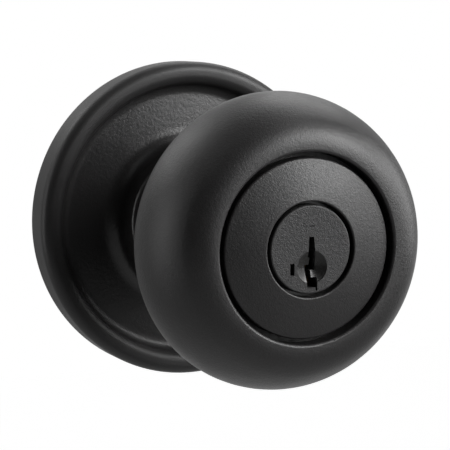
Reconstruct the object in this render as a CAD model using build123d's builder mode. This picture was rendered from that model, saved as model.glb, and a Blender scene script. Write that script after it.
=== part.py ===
from build123d import *
import os
from math import asin, cos, degrees, radians, sin, sqrt, tan

# Outside half of a keyed entry door knob: rose, turning knob, key cylinder and their carrier on the door.
# Millimetres, +Z up. The origin lies on the door's outer face on the knob's axis; the knob points along -Y.
# A depth is a distance out from the door's face, so a negative depth lies inside the door.

# Rose
rose_radius = 33.35
rose_wall = 1.0
rose_height = 7.4
bead_width = 4.2
bead_round = 2.05
cove_width = 1.1
cove_depth = 3.9
cove_round = 2.0
field_depth = 4.9
hub_lip = 1.45
hub_height = 12.0
hub_taper = 1.0
hub_round = 4.0
hub_lip_round = 1.15

# Knob shell
knob_radius = 28.7
knob_depth = 47.15
knob_wall = 1.2
neck_gap = 0.45
flare_turn = 62.0
flare_radius = 12.0
back_radius = 6.0
shoulder_share = 1.73
shoulder_turn = 40.0
mouth_radius = 17.93
mouth_round = 0.6
mouth_depth = 3.6
release_hole_radius = 1.1

# Turning limit of the knob, either way
knob_turn = 60.0

# Running and seating clearances
running_gap = 0.07
seat_gap = 0.05
free_gap = 0.3

# Liner plate, bush and the ring that keeps the sleeve in
liner_back = 0.4
liner_thickness = 1.5
collar_wall = 1.3
collar_front = 8.0
bush_wall = 1.4
bush_flange_radius = 12.9
bush_flange_thickness = 0.8
washer_thickness = 0.5
ring_thickness = 0.9
ring_width = 1.4
ring_groove_depth = 0.5
ring_mouth = 7.0

# Mounting posts
post_offset = 19.0
post_radius = 3.4
post_bore = 2.1
post_back = -22.0
post_shoulder_radius = 4.0
post_shoulder_thickness = 1.2

# Spring cage, its rivets and the return spring
cage_radius = 14.7
cage_wall = 0.8
cage_back = -9.4
cage_floor = 0.9
cage_bore_gap = 1.1
ear_width = 9.0
ear_reach = 21.5
ear_thickness = 1.0
rivet_offset = 18.0
rivet_radius = 1.5
rivet_head_radius = 2.6
rivet_head_thickness = 0.8
stop_width = 3.0
stop_overlap = 0.7
stop_slack = 2.5
spring_wire = 1.2
spring_radius = 12.2
spring_pitch = 1.68
spring_turns = 2.75

# Drive sleeve, half-round spindle and torque blade
sleeve_wall = 1.25
sleeve_end_gap = 1.0
flange_radius = 12.1
flange_thickness = 1.3
lug_width = 5.2
lug_reach = 13.2
rib_width = 3.0
rib_height = 0.95
spindle_radius = 5.5
spindle_bore = 4.4
spindle_back = -34.0
spindle_disc = 1.7
spindle_open = 0.8
blade_width = 5.4
blade_thickness = 1.5
blade_back = -44.0

# Catch that holds the knob on the sleeve
catch_depth = 18.0
catch_radius = 1.9
catch_tip = 12.0
catch_head_radius = 2.8
catch_head_thickness = 1.1
bracket_height = 4.2
bracket_thickness = 0.8
bracket_length = 8.0
catch_spring_wire = 0.4
catch_spring_radius = 1.2
catch_spring_turns = 3.0

# Knob core, cylinder cover and the washer behind it
core_web = 2.3
core_web_gap = 1.6
core_web_bore = 5.0
core_cup_wall = 1.2
core_shank_wall = 1.65
core_flange_lap = 0.47
core_flange = 1.5
register_wall = 1.3
register_height = 1.5
cover_gap = 0.98
cover_rise = 0.92
cover_dome = 1.7
cover_edge = 0.9
cover_skirt = 1.4
cover_bore_gap = 0.65
cover_edge_round = 0.5
cover_bore_round = 0.3

# Cylinder body
cylinder_side = 2.63
cylinder_length = 25.7
cylinder_wall = 1.5
cylinder_front_gap = 0.2
cylinder_flange_gap = 0.8
cylinder_flange = 1.2
cylinder_key_width = 4.6
cylinder_key_height = 1.0
cylinder_key_length = 10.0
bar_groove_depth = 1.1
bar_groove_width = 2.2

# Plug
plug_radius = 8.3
plug_sink = 0.3
plug_face_round = 0.35
plug_head = 3.7
plug_tail = 1.3
plug_flat = -2.5
journal_radius = 6.4
journal_length = 1.8
clip_thickness = 0.7
clip_radius = 8.0
clip_groove = 0.8
blade_seat = 1.9
dish_radius = 3.1
dish_depth = 0.9
dish_place = (0.29, -3.3)
index_place = (0.26, 4.35)
index_size = (1.15, 0.22)
index_depth = 0.15
tool_slot_place = (-3.8, -3.5)
tool_slot_size = (0.85, 2.2)
drill_pin_radius = 0.8
drill_pin_length = 2.6
drill_pin_places = ((-5.4, 2.6), (-5.9, -1.4))

# Keyway section, seen from the user's side with the plug's centre at zero
keyway_top = 2.35
keyway_top_left = -0.3
keyway_top_right = 0.68
keyway_left = -0.5
keyway_right = 1.08
keyway_widest = -1.4
left_ward = -0.12
left_ward_top = -1.5
left_ward_base = -2.85
right_ward = 0.2
right_ward_top = -3.9
right_ward_base = -5.2
keyway_low_left = -1.15
keyway_floor = -7.1
keyway_floor_left = -0.72
keyway_floor_right = 1.33
keyway_tail = -7.75
keyway_tail_width = 0.35
keyway_depth = 24.5

# Followers, their springs and cap
pin_count = 5
pin_start = 7.8
pin_pitch = 3.4
pin_length = 2.2
pin_height = 2.6
pin_left = -2.4
pin_right = 1.4
pin_tip_left = 0.05
pin_tip_right = 0.8
pin_tip_length = 1.2
pin_tip_height = 2.0
pin_gap = 0.1
pin_low = 0.0
pin_step = 0.45
pin_code = (1, 3, 0, 2, 1)
pin_drop = 0.5
cap_base = 6.6
cap_left = -2.4
cap_right = 2.2
pin_spring_wire = 0.25
pin_spring_radius = 0.75
pin_spring_turns = 4.0

# Carrier, racks and locking bar
carrier_gap = 0.1
carrier_travel = 1.6
rack_back = -4.7
rack_face = -2.7
rack_half_height = 3.4
rack_travel = 1.0
rack_notch = 0.8
rack_tooth = 0.9
rack_tooth_depth = 0.3
bar_tip_gap = 0.2
bar_wedge = 0.5
bar_fin = -4.3
bar_thickness = 1.0
bar_end_gap = 0.3
bar_ear_length = 1.0
bar_ear_height = 2.0
bar_ear_outer = -6.8
bar_ear_inner = -6.0
bar_spring_seat = -3.6
bar_spring_height = 1.3
bar_spring_wire = 0.2
bar_spring_radius = 0.42
bar_spring_turns = 4.0
return_spring_place = (-5.65, -3.9)
return_spring_wire = 0.25
return_spring_radius = 0.5
return_spring_turns = 9.0
return_spring_pocket = 4.8

# Planes: sketches across the axis face the user, and profiles hold (radius, depth) for turning about Y
ACROSS = Plane(origin=(0, 0, 0), x_dir=(1, 0, 0), z_dir=(0, -1, 0))
PROFILE = Plane(origin=(0, 0, 0), x_dir=(1, 0, 0), z_dir=(0, 0, -1))

# Places that follow from the sizes above: across the axis, from the plug outwards
cylinder_bore = plug_radius + running_gap
cylinder_radius = cylinder_bore + cylinder_side
cylinder_key_reach = cylinder_radius + cylinder_key_height
core_cup_bore = cylinder_radius + seat_gap
core_cup_radius = core_cup_bore + core_cup_wall
core_bore = core_cup_radius - core_shank_wall
neck_radius = core_cup_radius + seat_gap + knob_wall
hub_bore = neck_radius + neck_gap
hub_radius = hub_bore + hub_lip
sleeve_radius = core_bore - seat_gap
sleeve_bore = sleeve_radius - sleeve_wall
bush_bore = sleeve_radius + running_gap
bush_radius = bush_bore + bush_wall
collar_radius = bush_radius + collar_wall
cage_bore = cage_radius - cage_wall
core_flange_radius = mouth_radius + knob_wall + core_flange_lap
cover_radius = mouth_radius - cover_gap
cover_bore = plug_radius + cover_bore_gap
cover_inner = cover_radius - cover_skirt
register_radius = cover_inner - seat_gap
cylinder_flange_radius = register_radius - register_wall - cylinder_flange_gap
rack_slot_back = rack_back - carrier_gap
bar_tip = -plug_radius + bar_tip_gap
bar_shoulder = bar_tip + bar_wedge

# The knob's front arcs, which bring its widest place in to the mouth
shoulder = radians(shoulder_turn)
face_width = knob_radius - mouth_radius - mouth_round
shoulder_radius = shoulder_share * face_width
nose_radius = (face_width - shoulder_radius * (1 - cos(shoulder))) / cos(shoulder)
flare = radians(flare_turn)
flare_rise = knob_radius - neck_radius - (flare_radius + back_radius) * (1 - cos(flare))
flare_start = knob_depth - (flare_radius + back_radius) * sin(flare) - flare_rise / tan(flare)

# Along the axis: the trim from the door outwards, and the cylinder from the knob's front inwards
liner_front = liner_back + liner_thickness
cage_inside = cage_back + cage_floor
sleeve_back = cage_inside + free_gap
flange_front = sleeve_back + flange_thickness
neck_back = collar_front + washer_thickness + ring_thickness + 2 * free_gap
knob_front = knob_depth + shoulder_radius * sin(shoulder) + nose_radius * (1 - sin(shoulder))
core_front = knob_front - mouth_depth - seat_gap
cover_crown = knob_front + cover_rise
cover_rim = cover_crown - cover_dome
cover_base = cover_rim - cover_edge
plug_face = cover_crown - plug_sink
plug_head_back = plug_face - plug_head
cylinder_front = cover_base - cylinder_front_gap
cylinder_back = cylinder_front - cylinder_length
journal_back = cylinder_back - journal_length
clip_back = cylinder_back - seat_gap - clip_thickness
core_web_front = journal_back - core_web_gap
core_web_back = core_web_front - core_web
sleeve_front = core_web_back - sleeve_end_gap
plug_tail_back = cylinder_back + cylinder_wall + seat_gap
plug_tail_front = plug_tail_back + plug_tail
carrier_back = plug_tail_front + carrier_travel + carrier_gap
carrier_front = plug_head_back - carrier_gap
pin_depths = [cylinder_back + pin_start + pin_pitch * i for i in range(pin_count)]
pin_heights = [pin_low + pin_step * step for step in pin_code]
bar_back = pin_depths[0] - pin_length / 2 - bar_ear_length - 2 * bar_end_gap
bar_front = pin_depths[-1] + pin_length / 2 + bar_ear_length + 2 * bar_end_gap

os.makedirs("parts", exist_ok=True)


def save(builder, name):
    """Labels a finished piece and writes it under its name."""
    builder.part.label = name
    export_step(builder.part, f"parts/{name}.step")


def disc(back, front, radius, bore=0.0, mode=Mode.ADD, centre=(0, 0)):
    """A disc or ring across the axis, from one depth to another."""
    with BuildSketch(ACROSS.offset(back)) as outline:
        with Locations(centre):
            Circle(radius)
            if bore:
                Circle(bore, mode=Mode.SUBTRACT)
    extrude(outline.sketch, amount=front - back, mode=mode)


def block(back, front, left, right, low, high, mode=Mode.ADD):
    """A block between two depths, with its sides at the given places across the axis."""
    with BuildSketch(ACROSS.offset(back)) as outline:
        with Locations(((left + right) / 2, (low + high) / 2)):
            Rectangle(right - left, high - low)
    extrude(outline.sketch, amount=front - back, mode=mode)


def upright(depth, low, high, radius, mode=Mode.ADD):
    """A round post along Z on the plane through the axis, at one depth."""
    with BuildSketch(Plane.XY.offset(low)) as outline:
        with Locations((0, -depth)):
            Circle(radius)
    extrude(outline.sketch, amount=high - low, mode=mode)


def coil(centre, direction, radius, wire, length, turns):
    """A coil spring of round wire that fills the given length along its direction."""
    run = length - wire
    with BuildLine() as path:
        Helix(pitch=run / turns, height=run, radius=radius, center=centre, direction=direction)
    with BuildSketch(Plane(origin=path.line @ 0, z_dir=path.line % 0)) as section:
        Circle(wire / 2)
    sweep(section.sketch, path=path.line)


# Rose: a pressed dish with a beaded rim, a cove, a flat field and a hub round the knob's neck
with BuildPart() as rose:
    with BuildSketch(PROFILE):
        with BuildLine():
            bead_inner = rose_radius - bead_width
            rose_line = FilletPolyline(
                (rose_radius, 0),
                (rose_radius, rose_height),
                (bead_inner, rose_height),
                (bead_inner - cove_width, cove_depth),
                (hub_radius + hub_taper, field_depth),
                (hub_radius, hub_height),
                (hub_bore, hub_height),
                radius=(bead_round, bead_round, cove_round, hub_round, hub_lip_round),
            )
            offset(rose_line, amount=rose_wall, side=Side.LEFT)
        make_face()
    revolve(axis=Axis.Y)
save(rose, "rose")

# Liner plate: closes the rose's back and carries the posts, the cage and the bush
with BuildPart() as rose_liner:
    disc(liner_back, liner_front, rose_radius - rose_wall - seat_gap, bush_radius)
    disc(liner_back, collar_front, collar_radius, bush_radius)
    for side in (-1, 1):
        disc(liner_back, liner_front, post_radius, mode=Mode.SUBTRACT, centre=(side * post_offset, 0))
        disc(liner_back, liner_front, rivet_radius, mode=Mode.SUBTRACT, centre=(0, side * rivet_offset))
save(rose_liner, "rose_liner")

# Mounting posts: two tapped sleeves that reach through the door for the inside half's screws
with BuildPart() as mounting_posts:
    for side in (-1, 1):
        place = (side * post_offset, 0)
        disc(post_back, liner_front, post_radius, post_bore, centre=place)
        disc(liner_back - post_shoulder_thickness, liner_back, post_shoulder_radius, post_bore, centre=place)
save(mounting_posts, "mounting_posts")

# Spring cage: a cup behind the liner, with two ears to rivet it and two stops for the sleeve's lug
stop_inner = lug_reach - stop_overlap
stop_outer = cage_bore + cage_wall / 2
stop_angle = (
    knob_turn
    + stop_slack
    + degrees(asin(lug_width / 2 / stop_inner))
    + degrees(asin(stop_width / 2 / stop_inner))
)
with BuildPart() as spring_cage:
    disc(cage_back, liner_back, cage_radius)
    ear_back = liner_back - ear_thickness
    block(ear_back, liner_back, -ear_width / 2, ear_width / 2, -ear_reach, ear_reach)
    disc(cage_inside, liner_back, cage_bore, mode=Mode.SUBTRACT)
    disc(cage_back, cage_inside, spindle_radius + cage_bore_gap, mode=Mode.SUBTRACT)
    for side in (-1, 1):
        disc(ear_back, liner_back, rivet_radius, mode=Mode.SUBTRACT, centre=(0, side * rivet_offset))
    with BuildSketch(ACROSS.offset(cage_inside)):
        for side in (-1, 1):
            with PolarLocations((stop_inner + stop_outer) / 2, 1, -90 + side * stop_angle):
                Rectangle(stop_outer - stop_inner, stop_width)
    extrude(amount=flange_thickness + free_gap)
save(spring_cage, "spring_cage")

# Rivets that join the cage's ears to the liner
with BuildPart() as cage_rivets:
    for side in (-1, 1):
        place = (0, side * rivet_offset)
        disc(ear_back, liner_front, rivet_radius, centre=place)
        disc(liner_front, liner_front + rivet_head_thickness, rivet_head_radius, centre=place)
        disc(ear_back - rivet_head_thickness, ear_back, rivet_head_radius, centre=place)
save(cage_rivets, "cage_rivets")

# Flanged bush that the sleeve turns in
with BuildPart() as neck_bush:
    disc(liner_back, collar_front, bush_radius, bush_bore)
    disc(liner_back - bush_flange_thickness, liner_back, bush_flange_radius, bush_bore)
save(neck_bush, "neck_bush")

# Washer between the bush and the sleeve's ring
with BuildPart() as thrust_washer:
    disc(collar_front, collar_front + washer_thickness, collar_radius, sleeve_radius + free_gap)
save(thrust_washer, "thrust_washer")

# Return spring: a torsion coil round the sleeve inside the cage
with BuildPart() as return_spring:
    spring_length = spring_pitch * spring_turns + spring_wire
    spring_middle = (flange_front + liner_back - bush_flange_thickness) / 2
    spring_start = spring_middle - (spring_length - spring_wire) / 2
    coil((0, -spring_start, 0), (0, -1, 0), spring_radius, spring_wire, spring_length, spring_turns)
save(return_spring, "return_spring")

# Drive sleeve: turns in the bush, with a flange and lug in the cage and a rib that drives the knob
with BuildPart() as drive_sleeve:
    disc(sleeve_back, sleeve_front, sleeve_radius)
    disc(sleeve_back, flange_front, flange_radius)
    block(sleeve_back, flange_front, -lug_width / 2, lug_width / 2, -lug_reach, 0)
    block(neck_back + free_gap, sleeve_front, -rib_width / 2, rib_width / 2, 0, sleeve_radius + rib_height)
    disc(sleeve_back, sleeve_front, sleeve_bore, mode=Mode.SUBTRACT)
    ring_back = collar_front + washer_thickness + seat_gap
    groove_radius = sleeve_radius - ring_groove_depth
    disc(ring_back, ring_back + ring_thickness, sleeve_radius, groove_radius, mode=Mode.SUBTRACT)
    upright(catch_depth, -sleeve_radius - 1, -sleeve_bore / 2, catch_radius + running_gap, mode=Mode.SUBTRACT)
save(drive_sleeve, "drive_sleeve")

# Open ring in the sleeve's groove
with BuildPart() as sleeve_ring:
    disc(ring_back, ring_back + ring_thickness, groove_radius + ring_width, groove_radius)
    half_mouth = ring_mouth / 2
    block(ring_back, ring_back + ring_thickness, 0, 2 * sleeve_radius, -half_mouth, half_mouth, Mode.SUBTRACT)
save(sleeve_ring, "sleeve_ring")

# Half-round spindle on a disc in the sleeve's back
with BuildPart() as half_round_spindle:
    disc(sleeve_back, sleeve_back + spindle_disc, sleeve_bore - seat_gap)
    disc(spindle_back, sleeve_back, spindle_radius)
    disc(spindle_back, sleeve_back + spindle_disc, spindle_bore, mode=Mode.SUBTRACT)
    side = spindle_radius
    block(spindle_back, sleeve_back, -side, side, -side, -spindle_open, Mode.SUBTRACT)
save(half_round_spindle, "half_round_spindle")

# Bracket across the sleeve that backs the catch's spring
with BuildPart() as catch_bracket:
    bracket_low = -bracket_height
    bracket_high = bracket_low + bracket_thickness
    bracket_half = sqrt((sleeve_bore - seat_gap) ** 2 - bracket_height**2)
    bracket_back = catch_depth - bracket_length / 2
    block(bracket_back, bracket_back + bracket_length, -bracket_half, bracket_half, bracket_low, bracket_high)
save(catch_bracket, "catch_bracket")

# Catch: a sprung plunger through the sleeve into the knob's shank
catch_head_low = -sqrt((sleeve_bore - running_gap) ** 2 - catch_head_radius**2)
catch_head_high = catch_head_low + catch_head_thickness
with BuildPart() as knob_catch:
    upright(catch_depth, -catch_tip, catch_head_low, catch_radius)
    upright(catch_depth, catch_head_low, catch_head_high, catch_head_radius)
save(knob_catch, "knob_catch")

with BuildPart() as catch_spring:
    coil(
        (0, -catch_depth, catch_head_high + catch_spring_wire / 2 + seat_gap),
        (0, 0, 1),
        catch_spring_radius,
        catch_spring_wire,
        bracket_low - catch_head_high - 2 * seat_gap,
        catch_spring_turns,
    )
save(catch_spring, "catch_spring")

# Knob shell: a spun skin from the neck over the bulb to the turned-in mouth
with BuildPart() as knob_shell:
    with BuildSketch(PROFILE):
        with BuildLine():
            neck = Line((neck_radius, neck_back), (neck_radius, flare_start))
            outward = JernArc(neck @ 1, neck % 1, flare_radius, -flare_turn)
            cone = Line(outward @ 1, outward @ 1 + (outward % 1) * (flare_rise / sin(flare)))
            back = JernArc(cone @ 1, cone % 1, back_radius, flare_turn)
            front = JernArc(back @ 1, back % 1, shoulder_radius, shoulder_turn)
            nose = JernArc(front @ 1, front % 1, nose_radius, 90 - shoulder_turn)
            lip = JernArc(nose @ 1, nose % 1, mouth_round, 90)
            mouth = Line(lip @ 1, (mouth_radius, knob_front - mouth_depth))
            offset(amount=knob_wall, side=Side.LEFT)
        make_face()
    revolve(axis=Axis.Y)
    upright(catch_depth, -neck_radius - 1, 0, release_hole_radius, mode=Mode.SUBTRACT)
save(knob_shell, "knob_shell")

# Knob core: shank on the sleeve, cup round the cylinder and flange under the shell's mouth
with BuildPart() as knob_core:
    disc(neck_back, core_web_front, core_cup_radius, core_bore)
    disc(core_web_back, core_web_front, core_cup_radius)
    disc(core_web_front, core_front, core_cup_radius, core_cup_bore)
    disc(core_front - core_flange, core_front, core_flange_radius, core_cup_bore)
    disc(core_front, core_front + register_height, register_radius, register_radius - register_wall)
    disc(core_web_back, core_web_front, core_web_bore, mode=Mode.SUBTRACT)
    rib_slot = rib_width / 2 + seat_gap
    rib_top = sleeve_radius + rib_height + seat_gap
    block(neck_back, core_web_back, -rib_slot, rib_slot, 0, rib_top, mode=Mode.SUBTRACT)
    key_slot = cylinder_key_width / 2 + seat_gap
    key_top = cylinder_key_reach + seat_gap
    key_back = core_front - cylinder_key_length - seat_gap
    block(key_back, core_front, -key_slot, key_slot, 0, key_top, mode=Mode.SUBTRACT)
    upright(catch_depth, -core_cup_radius - 1, 0, catch_radius + free_gap, mode=Mode.SUBTRACT)
save(knob_core, "knob_core")

# Cylinder cover: a shallow domed ring in the knob's mouth, pressed over the core's register
with BuildPart() as cylinder_cover:
    with BuildSketch(PROFILE):
        with BuildLine():
            skirt_back = core_front + seat_gap
            outline = Polyline(
                (cover_bore, cover_crown),
                (cover_bore, cover_base),
                (cover_inner, cover_base),
                (cover_inner, skirt_back),
                (cover_radius, skirt_back),
                (cover_radius, cover_rim),
            )
            rise = (cover_crown - cover_rim) / 2
            middle = ((cover_bore + cover_radius) / 2, cover_rim + rise * 1.2)
            ThreePointArc(outline @ 1, middle, outline @ 0)
        make_face()
    revolve(axis=Axis.Y)
    circles = cylinder_cover.edges().filter_by(GeomType.CIRCLE)
    bore_edge = circles.filter_by(lambda edge: abs(edge.radius - cover_bore) < seat_gap).sort_by(Axis.Y)[0]
    rim_edge = circles.filter_by(lambda edge: abs(edge.radius - cover_radius) < seat_gap).sort_by(Axis.Y)[0]
    fillet(bore_edge, cover_bore_round)
    fillet(rim_edge, cover_edge_round)
save(cylinder_cover, "cylinder_cover")

# Spring washer between the cylinder's flange and the cover
cylinder_flange_front = core_front + seat_gap + cylinder_flange
with BuildPart() as spring_washer:
    disc(cylinder_flange_front, cover_base, cylinder_flange_radius, cylinder_radius + seat_gap)
save(spring_washer, "spring_washer")

# Cylinder body: bore for the plug, groove for the locking bar, key against turning and a front flange
with BuildPart() as cylinder_body:
    disc(cylinder_back, cylinder_front, cylinder_radius)
    disc(core_front + seat_gap, cylinder_flange_front, cylinder_flange_radius)
    key_half = cylinder_key_width / 2
    key_start = core_front - cylinder_key_length
    block(key_start, core_front + seat_gap, -key_half, key_half, 0, cylinder_key_reach)
    disc(cylinder_back + cylinder_wall, cylinder_front, cylinder_bore, mode=Mode.SUBTRACT)
    disc(cylinder_back, cylinder_back + cylinder_wall, journal_radius + running_gap, mode=Mode.SUBTRACT)
    with BuildSketch(ACROSS.offset(bar_back - free_gap)):
        with BuildLine():
            Polyline(
                (-plug_radius + bar_groove_depth, bar_groove_width / 2),
                (-cylinder_bore, bar_groove_width / 2),
                (-cylinder_bore - bar_groove_depth, 0),
                (-cylinder_bore, -bar_groove_width / 2),
                (-plug_radius + bar_groove_depth, -bar_groove_width / 2),
                close=True,
            )
        make_face()
    extrude(amount=bar_front - bar_back + 2 * free_gap, mode=Mode.SUBTRACT)
save(cylinder_body, "cylinder_body")


def keyway_cut(back, front):
    """Cuts the warded keyway between two depths."""
    with BuildSketch(ACROSS.offset(back)) as section:
        with BuildLine():
            Polyline(
                (keyway_top_left, keyway_top),
                (keyway_top_right, keyway_top),
                (keyway_right, keyway_widest),
                (keyway_right, right_ward_top),
                (right_ward, right_ward_top),
                (right_ward, right_ward_base),
                (keyway_floor_right, right_ward_base),
                (keyway_floor_right, keyway_tail),
                (keyway_floor_right - keyway_tail_width, keyway_tail),
                (keyway_floor_right - keyway_tail_width, keyway_floor),
                (keyway_floor_left, keyway_floor),
                (keyway_low_left, left_ward_base),
                (left_ward, left_ward_base),
                (left_ward, left_ward_top),
                (keyway_left, left_ward_top),
                close=True,
            )
        make_face()
    extrude(section.sketch, amount=front - back, mode=Mode.SUBTRACT)


# Plug: face with a conical dish and an index mark, follower channels, a flat for the carrier, and a tail
# with the clip's groove and the blade's seat
with BuildPart() as plug:
    disc(plug_tail_back, plug_face, plug_radius)
    fillet(plug.edges().filter_by(GeomType.CIRCLE).sort_by(Axis.Y)[0], plug_face_round)
    disc(journal_back, plug_tail_back, journal_radius)
    block(plug_tail_front, plug_head_back, -plug_radius, plug_flat, -plug_radius, plug_radius, Mode.SUBTRACT)
    keyway_cut(plug_face - keyway_depth, plug_face)
    dish_centre = (dish_place[0], -plug_face, dish_place[1])
    with BuildSketch(Plane(origin=dish_centre, x_dir=(1, 0, 0), z_dir=(0, 0, -1))) as dish:
        with BuildLine():
            Polyline((0, 0), (dish_radius, 0), (0, -dish_depth), close=True)
        make_face()
    revolve(dish.sketch, axis=Axis(dish_centre, (0, 1, 0)), mode=Mode.SUBTRACT)
    index_left = index_place[0] - index_size[0] / 2
    index_low = index_place[1] - index_size[1] / 2
    block(
        plug_face - index_depth,
        plug_face,
        index_left,
        index_left + index_size[0],
        index_low,
        index_low + index_size[1],
        Mode.SUBTRACT,
    )
    channel = pin_length / 2 + pin_gap
    channel_right = pin_right + pin_gap
    floor = pin_low - pin_drop - pin_gap
    for depth in pin_depths:
        block(depth - channel, depth + channel, plug_flat, channel_right, floor, cap_base, Mode.SUBTRACT)
    cap_start = pin_depths[0] - pin_pitch / 2
    cap_end = pin_depths[-1] + pin_pitch / 2
    cap_side = cap_right + seat_gap
    block(cap_start, cap_end, plug_flat, cap_side, cap_base - seat_gap, plug_radius, Mode.SUBTRACT)
    slot_left = tool_slot_place[0] - tool_slot_size[0] / 2
    slot_low = tool_slot_place[1] - tool_slot_size[1] / 2
    block(
        plug_head_back,
        plug_face,
        slot_left,
        slot_left + tool_slot_size[0],
        slot_low,
        slot_low + tool_slot_size[1],
        Mode.SUBTRACT,
    )
    for place in drill_pin_places:
        drill_end = plug_head_back + drill_pin_length + seat_gap
        disc(plug_head_back, drill_end, drill_pin_radius + seat_gap, mode=Mode.SUBTRACT, centre=place)
    groove_back = clip_back - seat_gap
    groove_front = groove_back + clip_thickness + 2 * seat_gap
    disc(groove_back, groove_front, journal_radius, journal_radius - clip_groove, Mode.SUBTRACT)
    seat_half = blade_width / 2 + seat_gap
    seat_side = blade_thickness / 2 + seat_gap
    seat_end = journal_back + blade_seat
    block(journal_back, seat_end, -seat_side, seat_side, -seat_half, seat_half, Mode.SUBTRACT)
save(plug, "plug")

# Hard pins behind the plug's face
with BuildPart() as drill_pins:
    for place in drill_pin_places:
        disc(plug_head_back, plug_head_back + drill_pin_length, drill_pin_radius, centre=place)
save(drill_pins, "drill_pins")

# Cap over the follower springs, rounded to the plug's size
with BuildPart() as pin_cap:
    disc(cap_start + seat_gap, cap_end - seat_gap, plug_radius)
    cap_cut = -plug_radius
    block(cap_start, cap_end, cap_cut, plug_radius, cap_cut, cap_base, Mode.SUBTRACT)
    block(cap_start, cap_end, cap_cut, cap_left, cap_base, plug_radius, Mode.SUBTRACT)
    block(cap_start, cap_end, cap_right, plug_radius, cap_base, plug_radius, Mode.SUBTRACT)
save(pin_cap, "pin_cap")

# Open clip behind the cylinder body that keeps the plug in
with BuildPart() as plug_clip:
    clip_bore = journal_radius - clip_groove + seat_gap
    disc(clip_back, clip_back + clip_thickness, clip_radius, clip_bore)
    block(clip_back, clip_back + clip_thickness, 0, clip_radius, -clip_bore, clip_bore, Mode.SUBTRACT)
save(plug_clip, "plug_clip")

# Torque blade from the plug's tail through the spindle
with BuildPart() as torque_blade:
    half_width = blade_width / 2
    half_side = blade_thickness / 2
    blade_front = seat_end - seat_gap
    block(blade_back, blade_front, -half_side, half_side, -half_width, half_width)
    corners = torque_blade.edges().filter_by(Axis.X).group_by(Axis.Y)[-1]
    chamfer(corners, half_side)
save(torque_blade, "torque_blade")

# Followers: a block with a tip in the keyway, each at the height that its key cut gives it
for number, (depth, height) in enumerate(zip(pin_depths, pin_heights), start=1):
    with BuildPart() as follower:
        half = pin_length / 2
        top = height + pin_height
        block(depth - half, depth + half, pin_left, pin_right, height, top)
        tip = pin_tip_length / 2
        block(depth - tip, depth + tip, pin_tip_left, pin_tip_right, height - pin_tip_height, height)
    save(follower, f"follower_{number}")
    with BuildPart() as follower_spring:
        coil(
            (0, -depth, top + pin_spring_wire / 2 + seat_gap),
            (0, 0, 1),
            pin_spring_radius,
            pin_spring_wire,
            cap_base - top - 2 * seat_gap,
            pin_spring_turns,
        )
    save(follower_spring, f"follower_spring_{number}")

# Rack carrier: the plug's missing segment, slotted for the racks and the locking bar
with BuildPart() as rack_carrier:
    disc(carrier_back, carrier_front, plug_radius)
    carrier_face = plug_flat - carrier_gap
    block(carrier_back, carrier_front, carrier_face, plug_radius, -plug_radius, plug_radius, Mode.SUBTRACT)
    slot_height = rack_half_height + rack_travel
    slot = pin_length / 2 + pin_gap
    for depth in pin_depths:
        back, front = depth - slot, depth + slot
        block(back, front, rack_slot_back, carrier_face, -slot_height, slot_height, Mode.SUBTRACT)
    bar_half = bar_thickness / 2 + carrier_gap
    bar_inner = bar_fin + 2 * carrier_gap
    bar_slot_back = bar_back - carrier_gap
    bar_slot_front = bar_front + carrier_gap
    block(bar_slot_back, bar_slot_front, -plug_radius, bar_inner, -bar_half, bar_half, Mode.SUBTRACT)
    ear_top = bar_ear_height + carrier_gap
    ear_inner = bar_ear_inner + carrier_gap
    for back, front in (
        (bar_slot_back, bar_back + bar_ear_length + carrier_gap),
        (bar_front - bar_ear_length - carrier_gap, bar_slot_front),
    ):
        block(back, front, -plug_radius, ear_inner, -bar_half, ear_top, Mode.SUBTRACT)
        with BuildSketch(Plane.YZ.offset(ear_inner)) as pocket:
            with Locations((-(back + front) / 2, bar_spring_height)):
                Circle(bar_spring_radius + bar_spring_wire)
        extrude(pocket.sketch, amount=bar_spring_seat - ear_inner, mode=Mode.SUBTRACT)
    pocket_radius = return_spring_radius + return_spring_wire
    pocket_front = carrier_back + return_spring_pocket
    disc(carrier_back, pocket_front, pocket_radius, mode=Mode.SUBTRACT, centre=return_spring_place)
save(rack_carrier, "rack_carrier")

# Racks: toothed towards the followers and notched for the locking bar
for number, depth in enumerate(pin_depths, start=1):
    with BuildPart() as rack:
        half = pin_length / 2
        block(depth - half, depth + half, rack_back, rack_face, -rack_half_height, rack_half_height)
        notch = bar_thickness / 2 + carrier_gap
        block(depth - half, depth + half, rack_back, rack_back + rack_notch, -notch, notch, Mode.SUBTRACT)
        with BuildSketch(ACROSS.offset(depth - half)):
            with Locations((rack_face, 0)):
                with GridLocations(0, 2 * rack_tooth, 1, 3):
                    Rectangle(2 * rack_tooth_depth, rack_tooth)
        extrude(amount=pin_length, mode=Mode.SUBTRACT)
    save(rack, f"rack_{number}")

# Locking bar: a fin in the racks' notches, a wedge towards the cylinder body and an ear at each end
with BuildPart() as locking_bar:
    with BuildSketch(ACROSS.offset(bar_back)):
        with BuildLine():
            bar_side = bar_thickness / 2
            Polyline(
                (bar_fin, -bar_side),
                (bar_fin, bar_side),
                (bar_shoulder, bar_side),
                (bar_tip, 0),
                (bar_shoulder, -bar_side),
                close=True,
            )
        make_face()
    extrude(amount=bar_front - bar_back)
    for back in (bar_back, bar_front - bar_ear_length):
        block(back, back + bar_ear_length, bar_ear_outer, bar_ear_inner, 0, bar_ear_height)
save(locking_bar, "locking_bar")

# Springs that push the locking bar out
with BuildPart() as bar_springs:
    for depth in (bar_back + bar_ear_length / 2, bar_front - bar_ear_length / 2):
        coil(
            (bar_ear_inner + bar_spring_wire / 2 + seat_gap, -depth, bar_spring_height),
            (1, 0, 0),
            bar_spring_radius,
            bar_spring_wire,
            bar_spring_seat - bar_ear_inner - 2 * seat_gap,
            bar_spring_turns,
        )
save(bar_springs, "bar_springs")

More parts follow.
